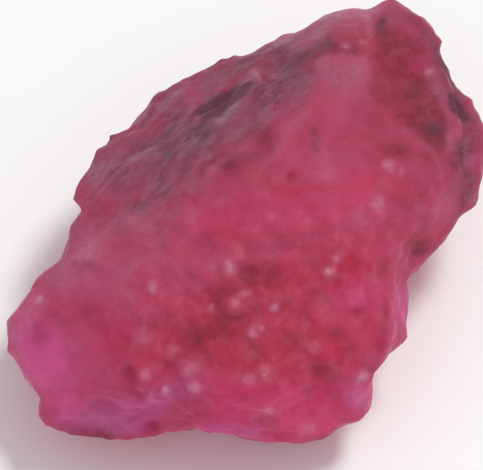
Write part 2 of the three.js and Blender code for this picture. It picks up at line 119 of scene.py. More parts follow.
relief = dict(
    spots=[  # pits and lumps on the front: right, up, radius, height
        (9.2, 5.2, 1.1, -0.42), (8.4, 7.2, 0.95, -0.3), (6.9, 10.5, 0.5, -0.35), (7.9, 9.3, 0.9, -0.18),
        (-1.1, 3.5, 0.75, -0.32), (1.0, 4.5, 0.6, -0.22), (-1.1, 6.2, 0.6, -0.25), (-1.4, -4.8, 1.3, -0.5),
        (0.15, -2.0, 0.6, -0.38), (-1.9, -3.1, 0.6, -0.25), (-5.9, -7.1, 0.5, -0.38), (3.6, -6.9, 0.8, -0.34),
        (8.6, -0.8, 0.75, -0.3), (2.3, 2.8, 0.32, -0.15), (1.5, 8.2, 0.5, -0.22), (-4.6, -9.6, 0.45, -0.28),
        (5.6, -3.9, 0.7, -0.25), (-7.5, -5.0, 0.9, -0.22), (3.2, -4.6, 0.9, -0.2), (-9.9, -4.4, 0.5, -0.18),
        (-0.9, -1.6, 0.48, 0.26), (4.15, -1.9, 0.32, 0.24), (4.65, -1.2, 0.3, 0.16), (1.55, -3.6, 0.3, 0.24),
        (-0.45, -3.5, 0.45, 0.22), (0.35, -5.0, 0.45, 0.22), (-2.7, -6.8, 0.55, 0.3),
        (-4.0, -7.9, 0.36, 0.24), (-2.6, -7.75, 0.36, 0.22), (-5.0, -7.0, 0.4, 0.22),
        (6.45, 1.15, 0.55, 0.24), (5.65, 1.0, 0.4, 0.16), (7.25, 3.2, 0.42, 0.24),
        (5.85, -7.1, 0.32, 0.28), (-4.6, -2.65, 0.35, 0.18), (-2.25, -1.8, 0.6, 0.22),
        (1.0, -8.65, 0.5, 0.18), (4.0, -6.05, 0.6, 0.24), (-2.85, 2.0, 0.36, 0.22), (3.4, 2.9, 0.6, 0.16),
        (-8.0, -6.6, 1.2, 0.25), (-7.0, -1.4, 0.8, 0.16), (5.4, -9.0, 0.7, 0.25), (1.0, 3.2, 0.5, 0.14)],
    creases=[  # troughs and ridges on the front: from, to, half width, height
        ((-4.0, 5.3), (-0.2, 7.5), 0.34, -0.46), ((-3.9, 3.3), (0.1, 6.2), 0.3, 0.3),
        ((-3.1, 1.7), (-0.4, 4.9), 0.28, 0.2), ((-6.2, 3.2), (-4.5, 4.3), 0.22, 0.2),
        ((9.4, 8.2), (10.4, 6.4), 0.3, 0.3), ((10.4, 6.4), (10.5, 2.4), 0.34, 0.32),
        ((10.55, 6.9), (11.1, 5.8), 0.24, -0.5), ((11.1, 5.4), (11.0, 3.2), 0.22, -0.26),
        ((7.2, -2.5), (6.9, -5.8), 0.28, 0.24), ((3.65, 6.6), (3.85, 4.2), 0.2, -0.16),
        ((-1.1, 2.9), (3.2, 6.3), 0.3, 0.16), ((-9.0, -1.3), (-6.6, -1.3), 0.3, 0.2),
        ((-5.0, -8.2), (-2.0, -6.0), 0.4, 0.24), ((3.4, 8.8), (6.2, 9.0), 0.26, 0.2),
        ((-9.8, -8.0), (-6.4, -8.9), 0.3, -0.24), ((5.9, 11.0), (6.3, 9.4), 0.24, 0.24)],
    frontFrom=-0.3,  # the listed relief starts this far out of the girdle's middle
    frontFull=1.2,  # and is whole from here
    spotFall=1.1,  # how quickly a pit or lump dies away past its radius
    creaseEnds=0.2,  # a crease sinks in over this share of its length
    creaseLeast=0.3,  # and keeps this much of its height there
    ledges=[(2.3, 0.4), (0.75, 0.16)],  # pitch and height of the schist coat's steps
    ledgeGrain=0.64,  # radians up from right that the steps run along
    ledgeRise=0.3,  # the share of a step that is its steep side
    ledgeWaver=(2.9, 0.8, 11),  # size, height and seed of the swells that bend them
    dishBias=0.5,  # how unlike in depth neighbouring dishes are
    ridgeWear=0.09,  # how far the ridges between them are rounded off
    dishLeast=0.35,  # the share of the dishes that even the smoothest face has
    dishes=dict(size=3.4, height=0.75, shift=7.3, seed=21),
    grains=dict(size=1.5, height=-0.3, shift=3.1, seed=31),
    crumbs=dict(size=0.8, height=0.1, shift=1.7, seed=51),
    crumbLeast=0.3,  # the share of the crumbs that a smooth face has
    swells=[(2.6, 0.3, 41), (1.0, 0.1, 42)],  # size, height, seed
    slowSwell=2,  # swells from this size up don't count as grain
    nibbles=[(0.9, 0.1, 44), (0.45, 0.07, 43)],  # the same, but the girdle has them whole
    nibbleLeast=0.4,  # the share of the nibbles that a smooth face has
)


def ease(low, high, value):
    # a smooth step: 3t^2 - 2t^3 of the share t of the way from low to high
    t = np.clip((value - low) / (high - low), 0, 1)
    return t * t * (3 - 2 * t)


def chance(i, j, k, seed):
    # a steady chance value per whole-number cell: the fraction of a large sine
    value = np.sin(i * 127.1 + j * 311.7 + k * 74.7 + seed * 53.3) * 43758.5453
    return value - np.floor(value)


def swells(points, seed):
    # smooth swells, -1 to 1: the cell corners' chance values, blended by eased shares of the way
    cell = np.floor(points)
    share = ease(0, 1, points - cell)
    total = np.zeros(len(points))
    for corner in np.ndindex(2, 2, 2):
        weight = np.prod(np.where(corner, share, 1 - share), axis=1)
        total += weight * chance(*(cell + corner).T, seed)
    return 2 * total - 1


def scallops(points, seed):
    # shallow dishes that meet in worn ridges: a softened least of the squared distances to scattered seeds
    cell = np.floor(points)
    nearness = np.zeros(len(points))
    for step in np.ndindex(3, 3, 3):
        at = (cell + step - 1).T
        away = points.T - at - [chance(*at, seed), chance(*at, seed + 1), chance(*at, seed + 2)]
        reach = (away ** 2).sum(0) + relief["dishBias"] * chance(*at, seed + 3)
        nearness += np.exp(-reach / relief["ridgeWear"])
    return -relief["ridgeWear"] * np.log(nearness) - relief["dishBias"]


def ledgeSteps(points, pitch):
    # a sharp rise and a slow fall, repeated across the grain and wavering with a slow swell
    grain, rise = relief["ledgeGrain"], relief["ledgeRise"]
    size, waver, seed = relief["ledgeWaver"]
    across = points[:, 1] * np.cos(grain) - points[:, 0] * np.sin(grain) + waver * swells(points / size, seed)
    step = across / pitch - np.floor(across / pitch)
    return ease(0, rise, step) * (1 - step) / (1 - rise) - 0.5


def spotSum(flat, rows):
    # round bumps: height times a bell curve of the distance from each middle
    total = np.zeros(len(flat))
    for right, up, radius, height in rows:
        away = np.hypot(flat[:, 0] - right, flat[:, 1] - up) / radius
        total += height * np.exp(-relief["spotFall"] * away ** 2)
    return total


def streakSum(flat, rows):
    # long bumps: height times a bell curve of the distance from each line, lower at its ends
    total = np.zeros(len(flat))
    for start, end, halfWidth, height in rows:
        start, end = np.array(start), np.array(end)
        along = np.clip((flat - start) @ (end - start) / ((end - start) @ (end - start)), 0, 1)
        away = np.linalg.norm(flat - start - along[:, None] * (end - start), axis=1) / halfWidth
        ends, least = relief["creaseEnds"], relief["creaseLeast"]
        whole = ease(0, ends, along) * ease(1, 1 - ends, along)
        total += height * np.exp(-away ** 2) * (least + (1 - least) * whole)
    return total


def faceReaches(ways):
    # where each direction meets each face's plane, pushed out past the face's own spread
    rows = []
    for points, rough, coat in faces.values():
        points = np.array(points)
        normal = np.cross(points[1] - points[0], points[2] - points[0])
        normal /= np.linalg.norm(normal) * np.sign(normal @ points[0])
        lean = ways @ normal
        least = stone["grazing"]
        reach = np.where(lean > least, normal @ points[0] / np.maximum(lean, least), stone["farAway"])
        middle = points.mean(0)
        spread = stone["faceSpread"] * np.linalg.norm(points - middle, axis=1).max()
        gone = np.maximum(np.linalg.norm(ways * reach[:, None] - middle, axis=1) - spread, 0)
        rows.append(np.minimum(reach + stone["faceRelease"] * gone ** 2, stone["farAway"]))
    return np.array(rows)


def outlineReach(angle):
    # the distance from the heart to the outline's straight side that holds each angle
    angles = np.arctan2(outline[:, 1], outline[:, 0])
    order = np.argsort(angles)
    angles = np.append(angles[order], angles[order[0]] + 2 * np.pi)
    corners = outline[np.append(order, order[0])]
    angle = np.mod(angle - angles[0], 2 * np.pi) + angles[0]
    side = np.clip(np.searchsorted(angles, angle, side="right") - 1, 0, len(order) - 1)
    x, y = corners[side].T
    dx, dy = (corners[side + 1] - corners[side]).T
    return (x * dy - y * dx) / (np.cos(angle) * dy - np.sin(angle) * dx)


def girdleReach(ways):
    # a barrel that bulges to the outline at its waist: the root of a square law in the height
    angle = np.arctan2(ways[:, 1], ways[:, 0])
    flat = np.hypot(ways[:, 0], ways[:, 1]) + stone["tiny"]
    sharp = outlineReach(angle)
    samples = range(-stone["nickSamples"], stone["nickSamples"] + 1)
    smooth = np.mean([outlineReach(angle + k * stone["nickSpan"]) for k in samples], axis=0)
    keep = np.exp(-(sharp * ways[:, 2] / flat / stone["outlineDepth"]) ** 2)
    waist = smooth + (sharp - smooth) * keep + stone["lip"]
    bulge = 2 * stone["barrel"] * ways[:, 2] ** 2 + stone["tiny"]
    return waist * (np.sqrt(flat ** 2 + 2 * bulge) - flat) / bulge


def lump(ways):
    # the plain lump: a softened least of all reaches, and each face's share of the place
    reaches = np.vstack([faceReaches(ways), girdleReach(ways)])
    least = reaches.min(0)
    radius = least - stone["edgeEase"] * np.log(np.exp((least - reaches) / stone["edgeEase"]).sum(0))
    shares = np.exp((least - reaches) / stone["shareEase"])
    shares /= shares.sum(0)
    girdle = shares[-1]
    rough = np.array([face[1] for face in faces.values()] + [stone["girdleRough"]]) @ shares
    coat = np.array([face[2] for face in faces.values()] + [0]) @ shares
    return radius, rough, np.minimum(1, coat / np.maximum(1 - girdle, stone["leastFace"])), girdle


def reliefHeight(points, rough, coat, girdle):
    # the listed pits, lumps and creases on the front and the broken grain all over; and the grain alone
    front = ease(relief["frontFrom"], relief["frontFull"], points[:, 2])
    height = front * (spotSum(points[:, :2], relief["spots"]) + streakSum(points[:, :2], relief["creases"]))
    for pitch, size in relief["ledges"]:
        height += coat * size * ledgeSteps(points, pitch)
    grain = np.zeros(len(points))
    dished = relief["dishLeast"] + (1 - relief["dishLeast"]) * rough
    crumbed = relief["crumbLeast"] + (1 - relief["crumbLeast"]) * rough
    for name, share in (("dishes", dished), ("grains", rough), ("crumbs", crumbed)):
        make = relief[name]
        dish = share * make["height"] * scallops(points / make["size"] + make["shift"], make["seed"])
        height += dish
        grain += dish * (name != "dishes")
    for size, swell, seed in relief["swells"]:
        wave = swell * swells(points / size, seed)
        height += wave
        grain += wave * (size < relief["slowSwell"])
    height *= (1 - stone["girdleCalm"] * girdle) * stone["reliefShare"]
    nibbled = relief["nibbleLeast"] + (1 - relief["nibbleLeast"]) * np.maximum(girdle, rough)
    for size, swell, seed in relief["nibbles"]:
        height += swell * swells(points / size, seed) * nibbled
    return height, grain


def ballDirections(quads):
    # six square panels of a cube, spaced evenly by angle, stretched along the lump and turned
    side = np.tan(np.linspace(-1, 1, quads + 1) * np.pi / 4)
    a, b = np.meshgrid(side, side, indexing="ij")
    one = np.ones_like(a)
    panels = [(one, a, b), (-one, b, a), (b, one, a), (a, -one, b), (a, b, one), (b, a, -one)]
    cube = np.stack([np.stack(panel, -1) for panel in panels]).reshape(-1, 3)
    row, column = np.meshgrid(np.arange(quads), np.arange(quads), indexing="ij")
    first = (row * (quads + 1) + column).ravel()
    square = np.stack([first, first + quads + 1, first + quads + 2, first + 1], 1)
    squares = np.concatenate([square + n * (quads + 1) ** 2 for n in range(len(panels))])
    steps = np.round(cube * stone["weldSteps"])
    keep, where = np.unique(steps, axis=0, return_index=True, return_inverse=True)[1:]
    ball = cube[keep] / np.linalg.norm(cube[keep], axis=1)[:, None] * stone["ballHalves"]
    turn = np.radians(stone["ballTurn"])
    x = ball[:, 0] * np.cos(turn) - ball[:, 1] * np.sin(turn)
    y = ball[:, 0] * np.sin(turn) + ball[:, 1] * np.cos(turn)
    ways = np.stack([x, y, ball[:, 2]], 1)
    return ways / np.linalg.norm(ways, axis=1)[:, None], where.ravel()[squares]


# the face frame's axes in the part's own frame
turn, lift = np.radians(stone["faceTurn"]), np.radians(stone["faceLift"])
faceRight = np.array([np.cos(turn), np.sin(turn), 0])
faceOut = np.array([np.sin(turn) * np.cos(lift), -np.cos(turn) * np.cos(lift), np.sin(lift)])
faceUp = np.cross(faceOut, faceRight)
leanUp = faceUp - stone["girdleLean"] * faceOut

ways, squares = ballDirections(stone["panelQuads"])
radius, rough, coat, girdle = lump(ways)
height, grain = reliefHeight(ways * radius[:, None], rough, coat, girdle)
radius += height
spokes = ways @ np.array([faceRight, leanUp, faceOut])
reachDown = stone["heartHeight"] / np.maximum(-spokes[:, 2], stone["tiny"])  # the flat base
radius = np.minimum(radius, reachDown)
skin = spokes * radius[:, None]
onFace = ways * radius[:, None]  # the same places in the face frame

# fitted to the box of the solid
boxLow, boxHigh = (np.array(corner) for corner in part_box("rough_ruby"))
skinLow, skinHigh = skin.min(0), skin.max(0)
fit = (boxHigh - boxLow) / (skinHigh - skinLow)
skin = boxLow + (skin - skinLow) * fit
heart = boxLow - skinLow * fit
print("surface: %d points, fitted by" % len(skin), np.round(fit / mm, 4))


# Where the crystal's tints lie on the front. Spots: right, up, radius, strength. Streaks: from, to,
# half width, strength. Patches: corners anticlockwise, softness of the edge, strength.
stains = {}
# milky places, partly painted light: the small bright spots are pale grains with painted glints on them, the
# streak over the left shoulder is a painted sheen, and the broad spot at the foot's lower edge lightens it
# where it turns down away from the lamps
stains["milkAndHighlight"] = dict(
    spots=[
        (4, 8.3, 0.4, 0.12), (5.6, 8.4, 0.5, 0.12), (4.7, 7.7, 0.4, 0.08), (0.45, 8.02, 0.2, 0.9),
        (0.72, 7.7, 0.14, 0.7), (1.4, 8.55, 0.15, 0.8), (-0.85, -1.7, 0.3, 0.72), (-1.6, -1.65, 0.3, 0.25),
        (4.15, -1.95, 0.24, 1.1), (4.6, -1.2, 0.2, 0.7), (1.55, -3.62, 0.24, 0.9), (0, -3.1, 0.24, 0.35),
        (-0.45, -3.5, 0.3, 0.35), (-1.65, -3.7, 0.2, 0.5), (0.45, -5.1, 0.3, 0.72),
        (0.95, -4.75, 0.18, 0.5), (-2.75, -6.7, 0.4, 0.5), (-3.95, -7.9, 0.26, 1), (-2.55, -7.75, 0.3, 0.8),
        (-4.95, -7, 0.3, 0.65), (7.2, 3.35, 0.3, 0.75), (7.9, 3, 0.2, 0.4), (6.6, 1.4, 0.34, 0.5),
        (5.6, 0.9, 0.4, 0.3), (5.85, -7.15, 0.26, 1.1), (5.9, -8.3, 0.5, 0.4), (-4.6, -2.75, 0.26, 0.6),
        (1.15, -8.8, 0.3, 0.55), (0.1, -7.3, 0.35, 0.5), (1.05, -7.05, 0.4, 0.45), (3.2, -9.8, 0.5, 0.4),
        (-10.35, -3.25, 0.16, 1.1), (-3.6, -5.9, 0.3, 0.4), (-5.15, -5.3, 0.45, 0.35),
        (9.3, 8.1, 0.22, 0.7), (5, 9.35, 0.2, 0.6), (5.8, 9.6, 0.16, 0.5), (8, 5.2, 0.2, 0.2),
        (3.4, -5.75, 0.35, 0.35), (-8.9, -10, 0.24, 0.5), (-4.7, -8.2, 0.3, 0.35), (1.3, 0.7, 0.2, 0.3),
        (3.1, 0.6, 0.2, 0.35), (-7.9, -1.25, 0.5, 0.22), (-5.4, 0.5, 0.8, 0.14), (-7.9, -0.35, 0.6, 0.16),
        (10.4, 0.9, 0.5, 0.2), (4, -3.8, 0.9, 0.17), (2.5, -9.2, 1.5, 0.08), (4.7, -9.5, 1, 0.18),
        (-6, -3.2, 1, 0.15), (0.6, -3.8, 1.6, 0.08), (2.9, -3.2, 1, 0.08), (7.8, 9.8, 0.8, 0.06),
        (-7.1, -9.9, 1.2, 0.28), (1.25, -0.8, 0.7, 0.14), (3.2, -1.2, 0.9, 0.08), (-5.7, -4.2, 0.9, 0.09),
        (1, -9.3, 1, 0.1), (-8.6, -1.8, 1, 0.15), (-9.8, -1.9, 0.5, 0.2), (-3.8, -2, 1.2, 0.08),
        (0.25, -5.8, 0.6, 0.1), (-0.9, -3.9, 0.8, 0.08), (0.8, -9, 1, 0.06), (5.2, -7.8, 0.8, 0.1),
        (8.2, -3.9, 0.4, 0.14), (6.5, 11.3, 0.4, 0.3), (-9.2, -7.4, 0.8, 0.06), (-8.8, -8.9, 0.8, 0.06),
        (-4.3, -4.4, 0.8, 0.05), (4.9, 7.7, 0.8, 0.07), (4.2, 10.6, 0.5, 0.25), (9.2, 1.2, 0.6, 0.12)],
    streaks=[
        ((0.3, 2.5), (3, 6.2), 0.3, 0.2), ((-8.4, -0.9), (-5.4, 1.1), 0.5, 0.16),
        ((9.15, 8), (9.9, 6.6), 0.22, 0.2), ((10.4, 5.2), (10.2, 4.1), 0.2, 0.25),
        ((3.9, 11.1), (6.2, 11.3), 0.3, 0.3), ((6.5, 10.9), (5.9, 9.4), 0.22, 0.15),
        ((-2, 2.6), (0.3, 4.6), 0.26, 0.2), ((7.6, -2.8), (7.5, -5.4), 0.22, 0.05),
        ((3.3, 5.2), (4.4, 2), 0.5, 0.12), ((-10.4, -2.7), (-11.6, -5.6), 0.5, 0.27),
        ((-11.6, -5.6), (-10.2, -8.2), 0.5, 0.3)],
    patches=[
        ([(3.6, 7.6), (4.8, 7.3), (6.3, 7.6), (6.2, 8.8), (5, 9), (3.6, 8.6)], 0.25, 0.1),
        ([(3.6, 6.4), (4.6, 5.8), (6.2, 6.6), (6.3, 9), (3.7, 9)], 0.7, 0.08)])
stains["red"] = dict(
    spots=[
        (2.75, -2.9, 2.4, 0.95), (5.2, -1.6, 1.3, 0.7), (-1.2, -4.6, 2.6, 0.95), (4.2, -6.2, 2, 0.9),
        (-4.2, -6, 1.8, 0.6), (1, -7, 1.6, 0.7), (0.5, 3.2, 1.4, 0.6), (3.2, 9, 0.8, 0.7),
        (5.2, 9.9, 0.8, 0.7), (-6.2, 5, 0.8, 0.5), (-3.4, 7, 0.7, 0.4), (-9.9, -4.6, 0.7, 0.7),
        (7, 3.6, 1.3, 0.65), (9.3, 3.7, 0.8, 0.6), (6.7, 5.8, 0.9, 0.45), (-8.2, 2, 0.5, 0.8),
        (2.3, 2.85, 0.3, 0.9), (-9.2, -3.6, 0.6, 0.4), (-7.4, -3.8, 1, 0.35), (11.3, 6.6, 0.35, 1),
        (-7.2, -8.1, 1.2, 0.3), (-7.9, -9.2, 0.5, 0.5), (7.9, -0.2, 0.9, 0.55), (5.9, -1.5, 0.9, 0.35),
        (1.95, -9.85, 0.5, 0.4), (0.1, -2.1, 0.8, 0.5), (-4.55, -9.7, 0.4, 0.9), (-5.8, -7, 0.5, 0.5)],
    streaks=[
        ((0.8, 2.15), (7, 2.3), 0.3, 0.7), ((-3.2, 2.2), (-2, 1.2), 0.3, 0.5),
        ((3.3, 6.6), (2.9, 4.8), 0.25, 0.5), ((-3, -0.4), (4, 0.2), 0.4, 0.3),
        ((-5.2, 2.1), (-5.7, 1.3), 0.2, 0.9), ((-8.2, 3.4), (-4.6, 6.4), 0.4, 0.5),
        ((5.6, -3), (6.9, -6.2), 0.4, 0.5)])
# rosy places, partly painted light: the streaks along the foot's lower edge lighten it where it turns down
# away from the lamps
stains["rose"] = dict(
    spots=[
        (1.9, -8.9, 1.3, 1), (4, -9.2, 1.2, 0.9), (5.2, -7.9, 0.8, 0.8), (4, -6.05, 0.5, 0.6),
        (-0.5, -8.6, 1, 0.5), (5.4, -3.2, 0.8, 0.6), (3.6, -4.4, 0.6, 0.4), (2.7, 1.8, 1.4, 0.2),
        (-1.5, 1, 1.6, 0.3), (5.6, 2.2, 0.9, 0.5), (-4.6, -7.9, 0.8, 0.3), (-6.3, -4.8, 1.4, 0.4),
        (3.2, -3.9, 0.8, 0.25), (2.8, -3.4, 0.9, 0.2), (-6.2, -3.3, 1, 0.18), (-4.3, -9.3, 0.8, 0.25),
        (3.2, -0.8, 0.8, 0.2), (1.3, -1.2, 0.8, 0.2)],
    streaks=[
        ((0, 0.7), (5.5, 1), 0.6, 0.15), ((-8, -9.8), (-5, -10), 0.5, 0.3),
        ((0.2, -9), (1.4, -9.9), 0.6, 0.25), ((-5.8, -1.6), (-3.2, -2.8), 1, 0.18),
        ((1.6, -1.2), (4.2, -1.8), 0.8, 0.14), ((-5.8, -8.9), (-3, -7.8), 0.6, 0.15)],
    patches=[
        ([(-2, -7.8), (-2.4, -9.8), (3, -10.6), (5.8, -9.6), (6.6, -7.4), (3, -7.4)], 0.7, 0.7)])
# deep red places, partly painted shade: the spots in the pits and beside the peak darken where shade falls,
# and the broad streak over the upper right darkens it where the lamps light it most
stains["deep"] = dict(
    spots=[
        (8.4, 6.4, 1, 0.3), (8.6, 7.1, 0.7, 0.3), (9.6, 4.9, 0.6, 0.4), (8, 9.2, 0.7, 0.3),
        (-0.8, 3.4, 0.7, 0.8), (0.9, 4.75, 0.7, 0.85), (1.1, 3.9, 0.35, 0.5), (7.9, 3.95, 0.4, 0.5),
        (2.35, 2.8, 0.26, 0.35), (10.6, 3.4, 0.4, 1), (11.2, 4.4, 0.4, 0.6), (-3.2, 5.85, 0.3, 0.7),
        (-2.4, 3.9, 0.3, 0.6), (-4.1, 3.3, 0.25, 0.5), (-10.4, -4.6, 0.25, 0.5), (-1.4, 4.9, 0.25, 0.6),
        (0.15, -1.95, 0.55, 1), (1.3, -1.9, 0.5, 0.45), (-1.1, -2.95, 0.42, 0.75), (-0.5, -3, 0.3, 0.5),
        (-2.4, -5, 0.7, 0.8), (-1.1, -4.75, 0.75, 0.78), (-2.3, -5.5, 0.35, 0.6), (0.6, -4, 0.4, 0.4),
        (0.2, -2.4, 1, 0.3), (-1.6, 3.6, 0.5, 0.6), (-0.3, 4.9, 0.5, 0.5), (-1.7, 4.2, 0.4, 0.4),
        (10.6, 0.6, 0.6, 0.4), (10.2, -0.2, 0.4, 0.5), (-5.85, -6.95, 0.5, 0.5), (-3.7, -6.45, 0.3, 0.65),
        (3.4, -6.75, 0.4, 0.4), (4.1, -7.15, 0.5, 0.18), (3.1, -7.8, 0.34, 0.6), (2.5, -5.4, 0.42, 0.65),
        (4.4, -5.1, 0.5, 0.6), (3.3, -5.3, 0.8, 0.12), (5.7, -4, 0.34, 0.6), (6.3, -6.9, 0.5, 0.5),
        (-4.55, -9.75, 0.3, 0.45), (8.7, -0.7, 0.7, 0.8), (9, 0.9, 0.6, 0.5), (-10.3, -5.2, 0.35, 0.6),
        (7.3, 4.2, 0.5, 0.3), (4.2, -8, 0.3, 0.3), (5.3, -0.7, 0.6, 0.25), (6.9, 6.2, 0.9, 0.14),
        (9.9, 3.8, 0.9, 0.16), (7.2, -1.7, 1, 0.1), (-0.75, -0.75, 0.6, 0.12), (6.4, 10.2, 0.5, 0.35),
        (7.4, 8.2, 0.9, 0.3), (7.9, 5.2, 0.8, 0.2), (6.3, 3.4, 0.7, 0.18), (8.2, -1.8, 0.5, 0.25),
        (11.1, 2.4, 0.35, 0.25), (0.1, -2.1, 0.5, 0.15), (9.4, 7.2, 0.5, 0.25), (1, 7.85, 0.5, 1),
        (-5.5, 1.75, 0.3, 0.6), (6.6, 0.1, 0.5, 0.25), (-7.9, -9.1, 0.2, 0.3)],
    streaks=[
        ((3.4, 5.7), (3.65, 3.9), 0.26, 0.8), ((4, 9.3), (5.8, 9.1), 0.3, 0.7),
        ((6.95, -3.4), (6.7, -6), 0.22, 0.4), ((9.9, 8.8), (10.5, 7), 0.2, 0.6),
        ((8, 1), (9.4, 2.6), 0.3, 0.4), ((8, 11.2), (9.6, 9.9), 0.35, 0.6),
        ((9.6, 10), (9.8, 8.2), 0.4, 0.8), ((9.9, 8.2), (11.3, 6.3), 0.4, 0.8),
        ((11.3, 6.4), (11.8, 3.6), 0.4, 0.6), ((11.8, 3.6), (10.4, 0.2), 0.35, 0.6),
        ((4, 8.2), (7, 2.8), 1.8, 0.22), ((6.2, 8.6), (6.5, 4.6), 0.6, 0.15),
        ((7.2, 4.5), (9.6, 3.6), 0.3, 0.4), ((3.2, -6.7), (4.8, -7.3), 0.3, 0.1),
        ((6.2, 9.4), (8.2, 10.2), 0.6, 0.15), ((9.3, 7.4), (9.4, 3.2), 0.6, 0.15)],
    patches=[
        ([(4, 9), (6.2, 8.9), (6.1, 10.4), (4.4, 10.3)], 0.35, 0.4),
        ([(6.4, 9), (6.3, 7), (7.4, 5.8), (9.2, 4.4), (10.1, 4.1), (10.2, 5.2), (9.8, 7.4),
          (8.9, 8.8)], 0.3, 0.5),
        ([(7.4, 8.4), (7.4, 7), (8.2, 5.9), (9.4, 4.7), (10, 4.6), (10, 5.8), (8.8, 8.2)], 0.7, 0.4),
        ([(6.6, 8.8), (9.1, 8.9), (9, 9.8), (7.8, 10.6), (6.5, 10.4)], 0.45, 0.78)])
# dark mauve places, partly painted shade: the first patch darkens the trough along the schist's step, and the
# spots beside the peak stand for the shade on it
stains["dusk"] = dict(
    spots=[
        (6.93, 10.65, 0.32, 0.9), (6.95, 10.1, 0.3, 0.4), (8.55, 7.15, 0.42, 0.5), (9.43, 5.2, 0.3, 0.8),
        (9.5, 5.1, 0.6, 0.3), (9.4, -0.85, 0.3, 0.3), (8.5, -1, 0.34, 0.3), (0.35, 3.95, 0.3, 0.2),
        (-2.9, 3.1, 0.3, 0.5), (-4.1, 4.2, 0.3, 0.4), (2.5, 9.05, 0.45, 0.35), (1.3, 8.15, 0.45, 0.28),
        (-1.75, 2.2, 0.5, 0.1), (0.2, 3.6, 0.8, 0.08), (2.3, 5.2, 0.8, 0.07), (-3.3, 7.2, 0.6, 0.1),
        (-2.8, 3.1, 0.4, 0.1), (0, 8.4, 0.5, 0.25), (-2, 7.6, 0.6, 0.18), (-3.6, 6.7, 0.5, 0.12),
        (-3, 2.4, 0.5, 0.3), (5, 10.7, 0.8, 0.11), (11.4, 1.7, 0.35, 0.12), (8.8, 6.2, 0.8, 0.06),
        (10.6, 1.7, 0.6, 0.1), (4.8, 4.2, 0.9, 0.09), (0.8, 0.9, 0.8, 0.06), (7.45, -4.4, 0.5, 0.1),
        (2.2, 9.2, 0.6, 0.2), (4.2, 10.2, 1.2, 0.14), (0.4, 3.7, 0.8, 0.26), (5.2, 2.2, 0.8, 0.1),
        (11.2, 1.3, 0.6, 0.2), (-1.7, 1.8, 0.8, 0.1), (11, 6, 0.5, 0.16), (10.2, 3.2, 0.6, 0.14),
        (3.5, 7.6, 1, 0.14), (1.3, 2.6, 0.9, 0.1), (-3.2, -5.8, 1, 0.08), (9, 3.3, 1, 0.08),
        (11.3, 3, 0.3, 0.4), (4.2, 9.2, 0.3, 0.3), (7.35, 4.3, 0.3, 0.15)],
    streaks=[
        ((8.2, -1.1), (9.2, -0.95), 0.2, 0.4), ((-3.6, 2.6), (-2.6, 4.2), 0.25, 0.5),
        ((10.9, 4.6), (10.7, 3.2), 0.22, 0.5), ((-1.6, 3.9), (-2.5, 2.2), 0.24, 0.4),
        ((-4.6, 3), (-3.4, 4.3), 0.2, 0.4), ((5.4, 10), (6.6, 4), 1.2, 0.16),
        ((6.6, 4.4), (10.6, 3), 1.5, 0.12), ((9.5, 9.6), (10.2, 7.2), 0.5, 0.3),
        ((7.4, 11.6), (9.6, 9.8), 0.5, 0.22), ((10.2, 7.4), (11.4, 5.2), 0.5, 0.2),
        ((-1.6, 8.2), (2.2, 9.3), 0.5, 0.36), ((6, 10.6), (9.4, 11.4), 0.7, 0.16),
        ((7.9, -1.8), (7.9, -5), 0.5, 0.15), ((9, 3.4), (7.4, -1), 1.3, 0.06),
        ((-2.4, 8), (1.2, 8.4), 0.45, 0.14), ((3.2, 8.2), (5.2, 8), 0.7, 0.1),
        ((8.4, 10.4), (10.2, 7.4), 0.8, 0.12), ((10.4, 7), (11.2, 5), 0.6, 0.12)],
    patches=[
        ([(-2.6, 6), (-2, 5.6), (-1.2, 5.9), (0.1, 7), (0.35, 7.7), (-0.4, 7.45)], 0.1, 0.85),
        ([(-2.5, 4.6), (-1.9, 4.6), (-0.7, 5.6), (-0.4, 6.4), (-1.4, 6.4), (-2.4, 5.9)], 0.16, 0.48),
        ([(1.9, 8), (2.4, 7.9), (3.3, 8.6), (4.5, 9.2), (4.3, 9.8), (3.3, 9.4), (2, 8.5)], 0.3, 0.75),
        ([(10.2, 7), (10.35, 6.2), (10.9, 5.6), (11.2, 5.8), (11.1, 6.5), (10.6, 7)], 0.14, 1)])
stains["film"] = dict(
    spots=[
        (5, 8, 1, 0.2), (10.9, 4, 0.5, 0.6), (11.1, 2.2, 0.7, 0.55), (10, 7, 0.4, 0.5),
        (7.6, 0.5, 0.8, 0.16), (10.6, 6, 0.3, 0.5)],
    streaks=[
        ((-7.6, 2.3), (-2.4, 6), 1.5, 0.95), ((-2.6, 5.8), (3.4, 8.4), 1.2, 0.95),
        ((-3.4, 3.9), (1.4, 6.5), 0.9, 0.9), ((-5.8, 0.9), (-3.4, 2.6), 0.8, 0.75),
        ((-2, 4.3), (1.4, 6.4), 0.7, 0.55), ((11.4, 6.2), (10.9, 1.8), 0.6, 0.6),
        ((9.3, 10.4), (9.9, 8.6), 0.35, 0.6), ((9.9, 8.8), (11.3, 6.4), 0.5, 0.8),
        ((-8.2, 0.2), (-5.6, 0.2), 0.7, 0.2), ((-1.8, 8.6), (3.2, 9.9), 0.7, 0.8),
        ((3.4, 8.5), (2.4, 5.2), 0.6, 0.35)])
